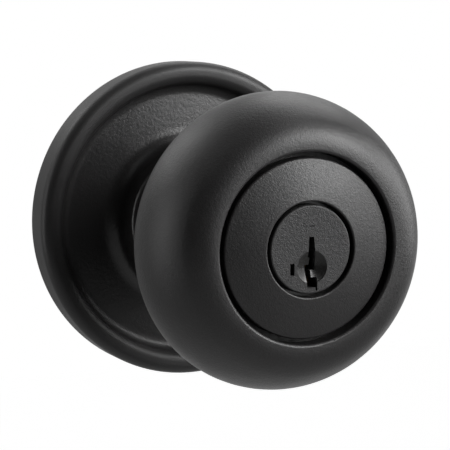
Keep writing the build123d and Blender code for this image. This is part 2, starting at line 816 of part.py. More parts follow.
# Spring that pushes the carrier forward, in its pocket against the plug's tail
with BuildPart() as carrier_spring:
    spring_x, spring_z = return_spring_place
    coil(
        (spring_x, -plug_tail_front - return_spring_wire / 2 - seat_gap, spring_z),
        (0, -1, 0),
        return_spring_radius,
        return_spring_wire,
        pocket_front - plug_tail_front - 2 * seat_gap,
        return_spring_turns,
    )
save(carrier_spring, "carrier_spring")
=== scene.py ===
import math

import bmesh
import bpy
from bpy.props import FloatProperty, FloatVectorProperty, IntProperty, PointerProperty
from mathutils import Matrix, Vector


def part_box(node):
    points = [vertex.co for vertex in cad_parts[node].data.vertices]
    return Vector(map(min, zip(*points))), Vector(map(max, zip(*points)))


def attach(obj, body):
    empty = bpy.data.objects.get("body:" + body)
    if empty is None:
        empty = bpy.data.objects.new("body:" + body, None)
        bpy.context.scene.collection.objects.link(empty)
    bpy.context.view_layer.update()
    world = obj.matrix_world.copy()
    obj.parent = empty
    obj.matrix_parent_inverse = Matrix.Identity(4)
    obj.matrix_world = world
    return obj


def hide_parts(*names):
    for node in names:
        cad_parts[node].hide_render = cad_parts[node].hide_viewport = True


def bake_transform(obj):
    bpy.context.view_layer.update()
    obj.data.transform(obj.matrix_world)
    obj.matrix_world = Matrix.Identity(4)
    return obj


bl_info = {
    "name": "Keyed Door Knob",
    "version": (1, 0, 0),
    "blender": (4, 5, 0),
    "location": "View3D > Sidebar > Door Knob",
    "description": "Dresses the outside half of a keyed door knob: rose, knob, key cylinder and their works",
    "category": "Object",
}

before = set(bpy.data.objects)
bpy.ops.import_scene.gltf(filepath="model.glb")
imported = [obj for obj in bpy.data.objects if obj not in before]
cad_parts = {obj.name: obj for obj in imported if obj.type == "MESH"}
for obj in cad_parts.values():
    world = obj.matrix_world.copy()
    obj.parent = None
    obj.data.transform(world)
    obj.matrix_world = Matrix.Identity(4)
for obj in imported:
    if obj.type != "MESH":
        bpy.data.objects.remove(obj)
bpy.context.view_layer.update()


# Settings

def length(name, description, default):
    """A size in metres."""
    return FloatProperty(name=name, description=description, default=default, precision=5, unit="LENGTH")


def colour(name, description, default):
    """A colour in linear light."""
    return FloatVectorProperty(
        name=name, description=description, default=default, subtype="COLOR", size=3, min=0.0, max=1.0
    )


def share(name, description, default):
    """A plain number from 0 to 1."""
    return FloatProperty(
        name=name, description=description, default=default, min=0.0, max=1.0, subtype="FACTOR"
    )


def degrees(name, description, default):
    """An angle, given in degrees."""
    return FloatProperty(name=name, description=description, default=math.radians(default), subtype="ANGLE")


class DoorKnobShape(bpy.types.PropertyGroup):
    """Sizes of the turned pieces and of the small repeated ones"""

    segments: IntProperty(
        name="Segments", description="Faces round a turned piece", default=224, min=24, max=512
    )
    rose_radius: length("Rose radius", "Outer radius of the rose", 0.03335)
    rose_wall: length("Rose wall", "Thickness of the pressed rose", 0.001)
    rose_height: length("Rose height", "Height of the beaded rim over the door", 0.0074)
    bead_width: length("Bead width", "Width of the bead round the rim", 0.0042)
    bead_round: length("Bead round", "Rounding of the bead", 0.00205)
    cove_width: length("Cove width", "Width of the slope inside the bead", 0.0011)
    cove_depth: length("Cove depth", "Height of the cove's floor over the door", 0.0039)
    cove_round: length("Cove round", "Rounding of the cove", 0.002)
    field_depth: length("Field height", "Height of the field at the hub", 0.0049)
    hub_radius: length("Hub radius", "Radius of the hub at its lip", 0.0154)
    hub_height: length("Hub height", "Height of the hub's lip", 0.012)
    hub_taper: length("Hub taper", "How much wider the hub is at its foot", 0.001)
    hub_round: length("Hub foot round", "Rounding between field and hub", 0.004)
    hub_lip_round: length("Hub lip round", "Rounding of the hub's lip", 0.00115)
    hub_bore: length("Hub bore", "Radius of the hub's opening", 0.01395)
    knob_radius: length("Knob radius", "Largest radius of the knob", 0.0287)
    knob_depth: length("Knob depth", "Distance of the knob's widest place from the door", 0.04715)
    knob_wall: length("Knob wall", "Thickness of the knob's skin", 0.0012)
    neck_radius: length("Neck radius", "Radius of the knob's neck", 0.0135)
    neck_back: length("Neck back", "Distance of the neck's end from the door", 0.010)
    flare_turn: degrees("Flare turn", "Angle of the cone behind the knob", 62.0)
    flare_radius: length("Flare radius", "Rounding from the neck into the cone", 0.012)
    back_radius: length("Back radius", "Rounding from the cone over the widest place", 0.006)
    shoulder_radius: length("Shoulder radius", "Rounding of the knob's front shoulder", 0.017594)
    shoulder_turn: degrees("Shoulder turn", "Angle that the shoulder turns through", 40.0)
    nose_radius: length("Nose radius", "Rounding from the shoulder to the mouth", 0.007903)
    mouth_round: length("Mouth round", "Rounding of the mouth's edge", 0.0006)
    mouth_depth: length("Mouth depth", "Depth of the skin inside the mouth", 0.0036)
    release_hole_radius: length("Release hole", "Radius of the hole under the neck", 0.0011)
    release_hole_depth: length("Release hole depth", "Distance of that hole from the door", 0.018)
    cover_radius: length("Cover radius", "Outer radius of the cylinder cover", 0.01695)
    cover_inner: length("Cover skirt bore", "Radius inside the cover's skirt", 0.01555)
    cover_skirt: length("Cover skirt", "Distance of the skirt's end from the door", 0.057682)
    cover_base: length("Cover base", "Distance of the cover's inner face from the door", 0.059602)
    cover_rim: length("Cover rim", "Distance of the cover's rim from the door", 0.060502)
    cover_crown: length("Cover crown", "Distance of the cover's crown from the door", 0.062202)
    cover_bore: length("Cover bore", "Radius of the opening for the plug", 0.00895)
    cover_edge_round: length("Cover edge round", "Rounding of the cover's outer edge", 0.0005)
    cover_bore_round: length("Cover bore round", "Rounding of the cover's opening", 0.0003)
    cover_dome: length("Cover dome", "Rounding of the cover's domed face", 0.060)
    plug_face: length("Plug face", "Distance of the plug's face from the door", 0.061902)
    dish_radius: length("Dish radius", "Radius of the cone sunk into the plug's face", 0.0031)
    dish_depth: length("Dish depth", "Depth of that cone at its middle", 0.0009)
    dish_across: length("Dish across", "How far right of the plug's centre the cone lies", 0.00029)
    dish_down: length("Dish down", "How far under the plug's centre the cone lies", 0.0033)
    head_depth: length("Plug head", "Depth of the plug's coated head", 0.0035)
    # Painted shade: the core is near-black and not metal in front of this distance, where it shows in the
    # groove round the cover
    core_gap_shade_start: length("Core front", "Distance from the door where the core's blacked front begins", 0.0555)
    post_offset: length("Post offset", "Distance of each mounting post from the axis", 0.019)
    post_bore: length("Post bore", "Radius of a post's bore", 0.0021)
    post_back: length("Post back", "How far a post reaches into the door", 0.022)
    thread_pitch: length("Thread pitch", "Distance from one thread to the next", 0.000794)
    thread_height: length("Thread height", "Height of the thread in the posts", 0.00042)
    thread_inset: length("Thread inset", "How far the thread stops short of a post's end", 0.0006)
    rivet_offset: length("Rivet offset", "Distance of each rivet from the axis", 0.018)
    rivet_radius: length("Rivet radius", "Radius of a rivet's shank", 0.0015)
    rivet_head_radius: length("Rivet head radius", "Radius of a rivet's head", 0.0026)
    rivet_head: length("Rivet head", "Height of a rivet's head", 0.0008)
    rivet_front: length("Rivet front", "Distance of the front head's seat from the door", 0.0019)
    rivet_rear: length("Rivet rear", "How far behind the door's face the rear head sits", 0.0006)
    rivet_segments: IntProperty(name="Rivet segments", description="Faces round a rivet", default=48, min=12)


class DoorKnobFinish(bpy.types.PropertyGroup):
    """Colours and gloss of the finishes"""

    coat: colour("Coat", "Colour of the satin coat", (0.0080, 0.0075, 0.0077))
    coat_light: colour("Coat grain", "Colour of the coat's raised grain", (0.0145, 0.0138, 0.0141))
    coat_gloss: share("Coat roughness", "Roughness of the satin coat", 0.40)
    plug: colour("Plug", "Colour of the plug's face", (0.0095, 0.0093, 0.0098))
    brass: colour("Brass", "Colour of the brass works", (0.70, 0.50, 0.22))
    steel: colour("Steel", "Colour of the plated steel", (0.56, 0.57, 0.58))
    plating_tint: colour("Plating tint", "Second colour that the plating shades into", (0.60, 0.57, 0.47))
    wire: colour("Spring wire", "Colour of the drawn wire", (0.40, 0.40, 0.41))
    hard_steel: colour("Hard steel", "Colour of the hardened pins", (0.27, 0.27, 0.28))
    zinc: colour("Cast zinc", "Colour of the cast core", (0.44, 0.45, 0.46))
    nylon: colour("Nylon", "Colour of the moulded bush", (0.72, 0.70, 0.63))


class DoorKnobStage(bpy.types.PropertyGroup):
    """Camera, lamps and floor"""

    azimuth: degrees("Azimuth", "Camera's angle round the knob", -24.87)
    elevation: degrees("Elevation", "Camera's angle over the knob", 7.01)
    roll: degrees("Roll", "Camera's tilt", -0.33)
    distance: length("Distance", "Camera's distance from its target", 0.350)
    target_depth: length("Target", "Distance of the camera's target from the door", 0.030)
    lens: FloatProperty(name="Lens", description="Focal length in millimetres", default=139.508)
    shift_x: FloatProperty(
        name="Shift across", description="Frame's shift across, in widths", default=-0.0287
    )
    shift_y: FloatProperty(name="Shift up", description="Frame's shift up, in widths", default=0.0132)
    floor_drop: length("Floor drop", "How far the floor lies under the knob's axis", 0.90)
    floor: colour("Floor", "Colour of the floor", (0.70, 0.70, 0.70))


# Node building

def fill(tree, node, inputs):
    """Fills or links a node's inputs by name or number."""
    for key, value in inputs.items():
        if isinstance(value, bpy.types.NodeSocket):
            tree.links.new(value, node.inputs[key])
        else:
            node.inputs[key].default_value = value


def add(tree, kind, inputs=None, **options):
    """Adds a node, sets its options, and fills its inputs."""
    made = tree.nodes.new(kind)
    for name, value in options.items():
        setattr(made, name, value)
    fill(tree, made, inputs or {})
    return made


def maths(tree, operation, first, second=0.0, third=0.0):
    """One sum of up to three values."""
    return add(tree, "ShaderNodeMath", {0: first, 1: second, 2: third}, operation=operation).outputs[0]


def times(tree, first, second):
    """The product of two values."""
    return maths(tree, "MULTIPLY", first, second)


def between(tree, value, low, high, to_low=0.0, to_high=1.0):
    """Maps a value from one range to another and holds it there."""
    inputs = {"Value": value, "From Min": low, "From Max": high, "To Min": to_low, "To Max": to_high}
    return add(tree, "ShaderNodeMapRange", inputs, clamp=True).outputs[0]


def tint(tree, factor, first, second):
    """Mixes two colours."""
    return add(tree, "ShaderNodeMix", {0: factor, 6: first, 7: second}, data_type="RGBA").outputs[2]


def noise(tree, vector, scale, detail, **others):
    """A noise that varies over the surface."""
    inputs = {"Vector": vector, "Scale": scale, "Detail": detail, **others}
    return add(tree, "ShaderNodeTexNoise", inputs).outputs[0]


def apart(tree, vector):
    """A vector's three parts."""
    return add(tree, "ShaderNodeSeparateXYZ", {0: vector}).outputs


def new_group(name, kind, inputs, outputs):
    """A node group with its named sockets; returns the tree, what it is given and the node for its result."""
    tree = bpy.data.node_groups.new(name, kind)
    for label, socket, default in inputs:
        made = tree.interface.new_socket(name=label, in_out="INPUT", socket_type=socket)
        if default is not None:
            made.default_value = default
    for label, socket in outputs:
        tree.interface.new_socket(name=label, in_out="OUTPUT", socket_type=socket)
    return tree, tree.nodes.new("NodeGroupInput").outputs, tree.nodes.new("NodeGroupOutput")


SOCKETS = {int: "NodeSocketInt", float: "NodeSocketFloat", tuple: "NodeSocketVector"}


def shader_group(name, values, *outputs):
    """A shader group with a vector and plain values in, and plain values out."""
    inputs = [("Vector", "NodeSocketVector", None)]
    inputs += [(label, "NodeSocketFloat", value) for label, value in values.items()]
    return new_group(name, "ShaderNodeTree", inputs, [(label, "NodeSocketFloat") for label in outputs])


def geometry_group(name, first, values):
    """A geometry group with a geometry, values and a material in, and a piece out."""
    inputs = [(first, "NodeSocketGeometry", None)]
    inputs += [(label, SOCKETS[type(value)], value) for label, value in values.items()]
    inputs += [("Material", "NodeSocketMaterial", None)]
    return new_group(name, "GeometryNodeTree", inputs, [("Piece", "NodeSocketGeometry")])


def coat_grain_group():
    """Fine powder grain over a soft orange peel."""
    values = {"Grain": 3600.0, "Peel": 1500.0, "Peel Share": 0.9}
    tree, given, result = shader_group("Coat Grain", values, "Height", "Tone")
    fine = noise(tree, given["Vector"], given["Grain"], 3.0, Roughness=0.62)
    peel = noise(tree, given["Vector"], given["Peel"], 1.0)
    height = maths(tree, "MULTIPLY_ADD", peel, given["Peel Share"], fine)
    fill(tree, result, {"Height": height, "Tone": between(tree, fine, 0.36, 0.70)})


def axis_reach(tree, parts):
    """Distance from the Y axis of a place given by its three parts."""
    across = times(tree, parts[0], parts[0])
    return maths(tree, "SQRT", maths(tree, "MULTIPLY_ADD", parts[2], parts[2], across))


def turning_marks_group():
    """Rings left by the lathe about the knob's axis."""
    tree, given, result = shader_group("Turning Marks", {"Pitch": 6000.0}, "Height", "Tone")
    parts = apart(tree, given["Vector"])
    along = maths(tree, "SUBTRACT", axis_reach(tree, parts), parts[1])
    place = times(tree, along, given["Pitch"])
    inputs = {"W": place, "Scale": 1.0, "Detail": 3.0}
    rings = add(tree, "ShaderNodeTexNoise", inputs, noise_dimensions="1D").outputs[0]
    fill(tree, result, {"Height": rings, "Tone": between(tree, rings, 0.3, 0.7)})


def handling_group():
    """Broad soft patches, where hands have dulled or polished a surface."""
    tree, given, result = shader_group("Handling", {"Scale": 90.0}, "Mask")
    patches = noise(tree, given["Vector"], given["Scale"], 4.0, Distortion=0.6)
    fill(tree, result, {"Mask": between(tree, patches, 0.35, 0.68)})


def edge_rub_and_highlight_group():
    """Mask of the rounded edges that catch the light, for a painted highlight and lower roughness there,
    broken up a little by grain.
    """
    tree, given, result = shader_group("Edge Rub", {"Amount": 0.6}, "Mask")
    edge = add(tree, "ShaderNodeAttribute", attribute_name="edge", attribute_type="GEOMETRY").outputs["Fac"]
    breaks = noise(tree, given["Vector"], 700.0, 4.0)
    worn = times(tree, edge, between(tree, breaks, 0.30, 0.62))
    fill(tree, result, {"Mask": times(tree, worn, given["Amount"])})


def place_group(tree, group, inputs):
    """Puts a shader group into a material with its own values."""
    return add(tree, "ShaderNodeGroup", inputs, node_tree=bpy.data.node_groups[group]).outputs


def blank_material(name):
    """A new material's tree, its shader and the object's coordinates."""
    material = bpy.data.materials.new(name)
    material.use_nodes = True
    tree = material.node_tree
    shader = tree.nodes["Principled BSDF"]
    return tree, shader, add(tree, "ShaderNodeTexCoord").outputs["Object"]


def bump(tree, height, strength, distance):
    """A normal with a height pressed into it."""
    inputs = {"Strength": strength, "Distance": distance, "Height": height}
    return add(tree, "ShaderNodeBump", inputs).outputs[0]


def opaque(values, level=1.0):
    """A colour with its alpha, brought to a level."""
    return (*(value * level for value in values), 1.0)


FIELD_EDGE = 0.001  # width over which the rose's field fades into its bead
FIELD_GLOSS = 0.15  # how much less rough the field is than the bead
EDGE_GLOSS = 0.10  # how much less rough a rubbed edge is
RIM_PEEL = 0.3  # share of peel left on the bead
EDGE_HIGHLIGHT_LEVEL = 1.8  # how much brighter than the coat's grain the painted highlight on a rubbed edge is
PEEL_RATIO = 6.0  # how much coarser the peel of a plain surface is than its grain
GRAIN_RELIEF, RING_RELIEF, PLUG_RELIEF = 0.30, 0.25, 0.70  # strengths of the relief
WALL = (0.00006, 0.00016)  # from none to all of the plug's walls under its face, which take painted shade, and bare metal where rubbed or behind the head
DISH_EDGE = 0.00005  # width over which the plug's dish begins
KEY_RUB = (0.0011, 0.0003)  # from none to all of the rub that keys leave, under the plug's face
PEBBLE = 0.00014  # depth of the pebbled plug face
SHADE_AND_COAT_EDGE = 0.0002  # width over which a front in painted shade, and the plug's coated head, end
# near-black colour of the painted shade on fronts that lie deep in the gaps round the plug and the cover
GAP_SHADE_COLOUR = (0.008, 0.0077, 0.0075, 1.0)
# colour of the painted shade in the plug's dish and on the walls of its keyway and slot
SHADED = (0.004, 0.0038, 0.0036, 1.0)


def satin_coat(name, dark, light, gloss, grain, peel_share, depth, field_radius=None):
    """Satin coat: fine grain, soft handling patches and a painted highlight on the rubbed edges.

    With a field radius, the peel and a higher gloss keep to a field round the axis."""
    tree, shader, point = blank_material(name)
    field = 0.0
    if field_radius:
        reach = axis_reach(tree, apart(tree, point))
        peel_share = between(tree, reach, field_radius, field_radius - FIELD_EDGE, RIM_PEEL, peel_share)
        field = between(tree, reach, field_radius - FIELD_EDGE, field_radius - 3.0 * FIELD_EDGE)
    grained = place_group(tree, "Coat Grain", {"Vector": point, "Grain": grain, "Peel Share": peel_share})
    rubbed = place_group(tree, "Edge Rub", {"Vector": point})["Mask"]
    handled = place_group(tree, "Handling", {"Vector": point})["Mask"]
    body = tint(tree, grained["Tone"], opaque(dark), opaque(light))
    # Painted highlight: the rubbed edges take a colour brighter than the coat's grain
    edge = tint(tree, rubbed, body, opaque(light, EDGE_HIGHLIGHT_LEVEL))
    dull = between(tree, handled, 0.0, 1.0, gloss - 0.03, gloss + 0.04)
    dull = maths(tree, "MULTIPLY_ADD", field, -FIELD_GLOSS, dull)
    dull = maths(tree, "MULTIPLY_ADD", rubbed, -EDGE_GLOSS, dull)
    relief = bump(tree, grained["Height"], GRAIN_RELIEF, depth)
    fill(tree, shader, {"Base Color": edge, "Roughness": dull, "Normal": relief})


def gap_shade_front(tree, point, metal, gap_shade_from):
    """Colour and metal share of a piece with painted shade, near-black and not metal, where it shows round
    the plug.
    """
    # Painted shade: near-black colour in place of metal where the piece lies deep in the gap
    gap_shade = between(tree, apart(tree, point)[1], -gap_shade_from, -gap_shade_from - SHADE_AND_COAT_EDGE)
    return tint(tree, gap_shade, metal, GAP_SHADE_COLOUR), maths(tree, "SUBTRACT", 1.0, gap_shade)


def turned_metal(name, bright, level, roughness, pitch, depth, gap_shade_from=None):
    """Turned metal: rings round the axis, dull patches, and a front in painted shade from a distance off the
    door.
    """
    tree, shader, point = blank_material(name)
    rings = place_group(tree, "Turning Marks", {"Vector": point, "Pitch": pitch})
    handled = place_group(tree, "Handling", {"Vector": point, "Scale": 240.0})["Mask"]
    ringed = tint(tree, rings["Tone"], opaque(bright), opaque(bright, 0.86))
    metal = tint(tree, times(tree, handled, 0.45), ringed, opaque(bright, level))
    metallic = 1.0
    if gap_shade_from:
        metal, metallic = gap_shade_front(tree, point, metal, gap_shade_from)
    dull = between(tree, handled, 0.0, 1.0, roughness, roughness + 0.14)
    relief = bump(tree, rings["Height"], RING_RELIEF, depth)
    fill(tree, shader, {"Base Color": metal, "Metallic": metallic, "Roughness": dull, "Normal": relief})


def grained_surface(name, bright, second, roughness, grain, depth, metallic=1.0, gap_shade_from=None):
    """Plated, drawn, cast or moulded surface: fine grain, a broad change of tint, perhaps a front in painted
    shade.
    """
    tree, shader, point = blank_material(name)
    grained = place_group(tree, "Coat Grain", {"Vector": point, "Grain": grain, "Peel": grain / PEEL_RATIO})
    handled = place_group(tree, "Handling", {"Vector": point, "Scale": 150.0})["Mask"]
    tinted = tint(tree, handled, opaque(bright), second)
    grain_and_gap_shade = tint(tree, times(tree, grained["Tone"], 0.35), tinted, opaque(bright, 0.62))
    if gap_shade_from:
        grain_and_gap_shade, metallic = gap_shade_front(tree, point, grain_and_gap_shade, gap_shade_from)
    dull = between(tree, grained["Tone"], 0.0, 1.0, roughness, roughness + 0.16)
    relief = bump(tree, grained["Height"], GRAIN_RELIEF, depth)
    fill(tree, shader, {"Base Color": grain_and_gap_shade, "Metallic": metallic, "Roughness": dull, "Normal": relief})


def plug_material(finish, shape):
    """Plug: coated face with a turned dish, painted shade on the dish and on the walls in keyway and slot,
    and bare brass behind the head.
    """
    tree, shader, point = blank_material("plug_coat")
    grained = place_group(tree, "Coat Grain", {"Vector": point, "Grain": 4600.0, "Peel Share": 0.5})
    handled = place_group(tree, "Handling", {"Vector": point})["Mask"]
    centre = (-shape.dish_across, shape.plug_face, shape.dish_down)
    shifted = add(tree, "ShaderNodeMapping", {"Vector": point, "Location": centre}).outputs[0]
    rings = place_group(tree, "Turning Marks", {"Vector": shifted, "Pitch": 2600.0})
    parts = apart(tree, shifted)
    reach = axis_reach(tree, parts)
    cone = between(tree, reach, 0.0, shape.dish_radius, shape.dish_depth, 0.0)
    under = maths(tree, "SUBTRACT", parts[1], cone)
    wall = between(tree, under, *WALL)
    behind = between(tree, under, shape.head_depth, shape.head_depth + SHADE_AND_COAT_EDGE)
    specks = between(tree, noise(tree, point, 900.0, 3.0), 0.46, 0.60)
    dished = between(tree, reach, shape.dish_radius, shape.dish_radius - DISH_EDGE)
    rubbed = times(tree, between(tree, under, *KEY_RUB), specks)
    glint = times(tree, rubbed, times(tree, dished, 0.5))
    bare = times(tree, wall, maths(tree, "MAXIMUM", glint, behind))
    coated = tint(tree, grained["Tone"], opaque(finish.plug), opaque(finish.coat_light))
    # Painted shade: the walls in keyway and slot, and the dish, take the near-black shaded colour
    dark = tint(tree, maths(tree, "MAXIMUM", wall, dished), coated, SHADED)
    brass = tint(tree, rings["Tone"], opaque(finish.brass), opaque(finish.brass, 0.8))
    metal = tint(tree, behind, opaque(finish.hard_steel), brass)
    shown = tint(tree, bare, dark, metal)
    dull = between(tree, handled, 0.0, 1.0, finish.coat_gloss - 0.04, finish.coat_gloss + 0.04)
    dull = maths(tree, "MULTIPLY_ADD", dished, -0.14, dull)
    dull = maths(tree, "MULTIPLY_ADD", wall, 0.6, dull)
    turned = times(tree, dished, times(tree, rings["Height"], 0.5))
    pebble = maths(tree, "SUBTRACT", 1.0, dished)
    relief = bump(tree, maths(tree, "MULTIPLY_ADD", pebble, grained["Height"], turned), PLUG_RELIEF, PEBBLE)
    fill(tree, shader, {"Base Color": shown, "Metallic": bare, "Roughness": dull, "Normal": relief})


def dress(mesh, finish):
    """Gives a mesh its one finish."""
    mesh.materials.clear()
    mesh.materials.append(bpy.data.materials[finish])


# Turned pieces

STEP = 0.0006  # longest straight run between points of an outline
WIDE_STEP = 0.0008  # the same on the knob and the rivets
HIDDEN_STEP = 0.002  # the same inside the knob
SMALL_TURN = 0.07  # turn between points of a wide arc
CORNER_TURN = 0.13  # turn between points of a rounded corner
SHARP = 1e-6  # rounding of a corner that stays sharp
WELD = 2e-6  # points nearer than this become one
DRILL_SIDES = 40  # faces round a drilled hole
TURN_SIDES = 28  # points in one turn of a thread
CREST_SIDES = 6  # points round the thread's ridge


def rounded_line(corners, step):
    """Points (radius, depth, edge) along a line with rounded corners.

    A corner has a radius, a depth and a rounding, and True where its edge is marked as rubbed, for lower
    roughness and a painted highlight in the satin coat."""
    points = []
    last = Vector(corners[0][:2])
    for before, corner, after in zip(corners, corners[1:], corners[2:]):
        here, size, rubbed = Vector(corner[:2]), corner[2], corner[3:]
        back = (Vector(before[:2]) - here).normalized()
        onward = (Vector(after[:2]) - here).normalized()
        half = back.angle(onward) / 2
        reach = size / math.tan(half)
        centre = here + (back + onward).normalized() * (size / math.sin(half))
        first = here + back * reach
        points += straight(last, first, step)
        start = math.atan2(*(first - centre).yx)
        turn = math.atan2(*(here + onward * reach - centre).yx) - start
        turn = (turn + math.pi) % (2 * math.pi) - math.pi
        steps = max(4, round(abs(turn) / CORNER_TURN))
        for i in range(steps):
            angle = start + turn * i / steps
            edge = math.sin(math.pi * i / steps) if rubbed else 0.0
            points.append((centre.x + size * math.cos(angle), centre.y + size * math.sin(angle), edge))
        last = here + onward * reach
    return points + straight(last, Vector(corners[-1][:2]), step) + [(*corners[-1][:2], 0.0)]


def straight(first, last, step):
    """Points along a straight run, without its end."""
    steps = max(1, math.ceil((last - first).length / step))
    return [(*first.lerp(last, i / steps), 0.0) for i in range(steps)]


def walked_line(start, moves, step):
    """Points (radius, depth, edge) along lines and arcs, each going on from the last.

    A line has no radius and a length. An arc has a radius and a turn, which is positive away from the axis,
    and True where its edge is marked as rubbed, for lower roughness and a painted highlight in the satin
    coat."""
    place = Vector(start)
    heading = 0.0
    points = []
    for radius, amount, *rubbed in moves:
        if radius is None:
            onward = place + Vector((math.sin(heading), math.cos(heading))) * amount
            points += straight(place, onward, step)
            place = onward
            continue
        side = math.copysign(1.0, amount)
        centre = place + Vector((math.cos(heading), -math.sin(heading))) * radius * side
        steps = max(6, round(abs(amount) / SMALL_TURN))
        for i in range(steps):
            angle = heading + amount * i / steps
            point = centre - Vector((math.cos(angle), -math.sin(angle))) * radius * side
            points.append((*point, math.sin(math.pi * i / steps) if rubbed else 0.0))
        heading += amount
        place = centre - Vector((math.cos(heading), -math.sin(heading))) * radius * side
    return points + [(*place, 0.0)]


def end_tree(tree, given, result, geometry):
    """Ends a tree with real geometry in its material."""
    real = add(tree, "GeometryNodeRealizeInstances", {"Geometry": geometry}).outputs[0]
    inputs = {"Geometry": real, "Material": given["Material"]}
    fill(tree, result, {"Piece": add(tree, "GeometryNodeSetMaterial", inputs).outputs[0]})


def sampled(tree, outline, row, field, kind):
    """A field's value at one of the outline's points."""
    inputs = {"Geometry": outline, "Value": field, "Index": row}
    return add(tree, "GeometryNodeSampleIndex", inputs, data_type=kind, domain="POINT").outputs[0]


def shade(tree, geometry, smooth, domain, **selection):
    """Makes faces smooth, or edges sharp."""
    inputs = {"Geometry": geometry, "Shade Smooth": smooth, **selection}
    return add(tree, "GeometryNodeSetShadeSmooth", inputs, domain=domain).outputs[0]


def set_in_pair(tree, geometry, axis, offset, back=0.0):
    """Two of a piece on opposite sides of the knob's axis, set back into the door."""
    near = {axis: times(tree, offset, -1.0), 1: back}
    first = add(tree, "ShaderNodeCombineXYZ", near).outputs[0]
    gap = add(tree, "ShaderNodeCombineXYZ", {axis: times(tree, offset, 2.0)}).outputs[0]
    inputs = {"Count": 2, "Start Location": first, "Offset": gap}
    pair = add(tree, "GeometryNodeMeshLine", inputs, mode="OFFSET").outputs[0]
    return add(tree, "GeometryNodeInstanceOnPoints", {"Points": pair, "Instance": geometry}).outputs[0]


def turned_tree():
    """Geometry nodes that turn a closed outline about the knob's axis."""
    values = {"Segments": 192, "Sharp Angle": math.radians(40.0)}
    tree, given, result = geometry_group("Turned Piece", "Outline", values)
    outline, segments = given["Outline"], given["Segments"]
    size = add(tree, "GeometryNodeAttributeDomainSize", {"Geometry": outline}, component="MESH")
    count = size.outputs["Point Count"]
    rows = maths(tree, "ADD", count, 1.0)
    columns = maths(tree, "ADD", segments, 1.0)
    grid = add(tree, "GeometryNodeMeshGrid", {"Vertices X": columns, "Vertices Y": rows}).outputs[0]
    index = add(tree, "GeometryNodeInputIndex").outputs[0]
    column = maths(tree, "FLOOR", maths(tree, "DIVIDE", maths(tree, "ADD", index, 0.5), rows))
    row = maths(tree, "SUBTRACT", index, times(tree, column, rows))
    row = times(tree, row, maths(tree, "LESS_THAN", row, maths(tree, "SUBTRACT", count, 0.5)))
    place = add(tree, "GeometryNodeInputPosition").outputs[0]
    mark = add(tree, "GeometryNodeInputNamedAttribute", {"Name": "edge"}, data_type="FLOAT").outputs[0]
    parts = apart(tree, sampled(tree, outline, row, place, "FLOAT_VECTOR"))
    edge = sampled(tree, outline, row, mark, "FLOAT")
    angle = times(tree, maths(tree, "DIVIDE", column, segments), 2.0 * math.pi)
    across = times(tree, parts[0], maths(tree, "COSINE", angle))
    up = times(tree, parts[0], maths(tree, "SINE", angle))
    out = times(tree, parts[1], -1.0)
    turned = add(tree, "ShaderNodeCombineXYZ", {0: across, 1: out, 2: up}).outputs[0]
    skin = add(tree, "GeometryNodeSetPosition", {"Geometry": grid, "Position": turned}).outputs[0]
    marked = add(
        tree, "GeometryNodeStoreNamedAttribute", {"Geometry": skin, "Name": "edge", "Value": edge},
        data_type="FLOAT", domain="POINT",
    ).outputs[0]
    welded = add(tree, "GeometryNodeMergeByDistance", {"Geometry": marked, "Distance": WELD}).outputs[0]
    bend = add(tree, "GeometryNodeInputMeshEdgeAngle").outputs["Unsigned Angle"]
    sharp = maths(tree, "GREATER_THAN", bend, given["Sharp Angle"])
    creased = shade(tree, shade(tree, welded, True, "FACE"), False, "EDGE", Selection=sharp)
    end_tree(tree, given, result, creased)


def pin_hole_tree():
    """Geometry nodes that drill a small round hole up through a piece."""
    values = {"Radius": 0.001, "Length": 0.004, "Place": (0.0, 0.0, 0.0)}
    tree, given, result = geometry_group("Pin Hole", "Piece", values)
    inputs = {"Vertices": DRILL_SIDES, "Radius": given["Radius"], "Depth": given["Length"]}
    drill = add(tree, "GeometryNodeMeshCylinder", inputs).outputs["Mesh"]
    inputs = {"Geometry": drill, "Translation": given["Place"]}
    placed = add(tree, "GeometryNodeTransform", inputs).outputs[0]
    inputs = {0: given["Piece"], 1: placed}
    cut = add(tree, "GeometryNodeMeshBoolean", inputs, operation="DIFFERENCE").outputs[0]
    end_tree(tree, given, result, cut)


def thread_tree():
    """Geometry nodes that wind a thread inside each mounting post."""
    values = {"Radius": 0.002, "Pitch": 0.0008, "Length": 0.02, "Height": 0.0004}
    values |= {"Offset": 0.019, "Back": 0.022}
    tree, given, result = geometry_group("Post Thread", "Maker", values)
    inputs = {
        "Resolution": TURN_SIDES,
        "Rotations": maths(tree, "DIVIDE", given["Length"], given["Pitch"]),
        "Start Radius": given["Radius"],
        "End Radius": given["Radius"],
        "Height": given["Length"],
    }
    spiral = add(tree, "GeometryNodeCurveSpiral", inputs).outputs[0]
    inputs = {"Resolution": CREST_SIDES, "Radius": given["Height"]}
    crest = add(tree, "GeometryNodeCurvePrimitiveCircle", inputs, mode="RADIUS").outputs[0]
    inputs = {"Curve": spiral, "Profile Curve": crest, "Fill Caps": True}
    ridge = shade(tree, add(tree, "GeometryNodeCurveToMesh", inputs).outputs[0], True, "FACE")
    inputs = {"Geometry": ridge, "Rotation": (math.radians(90.0), 0.0, 0.0)}
    laid = add(tree, "GeometryNodeTransform", inputs).outputs[0]
    placed = set_in_pair(tree, laid, 0, given["Offset"], given["Back"])
    end_tree(tree, given, result, placed)


def pair_tree():
    """Geometry nodes that set a turned piece at each of two places, one over and one under the axis."""
    tree, given, result = geometry_group("Upper and Lower Pair", "Piece", {"Offset": 0.018})
    placed = set_in_pair(tree, given["Piece"], 2, given["Offset"])
    end_tree(tree, given, result, placed)


def placed_object(name, data):
    """An object in the scene for a mesh, lamp or camera."""
    made = bpy.data.objects.new(name, data)
    bpy.context.scene.collection.objects.link(made)
    return made


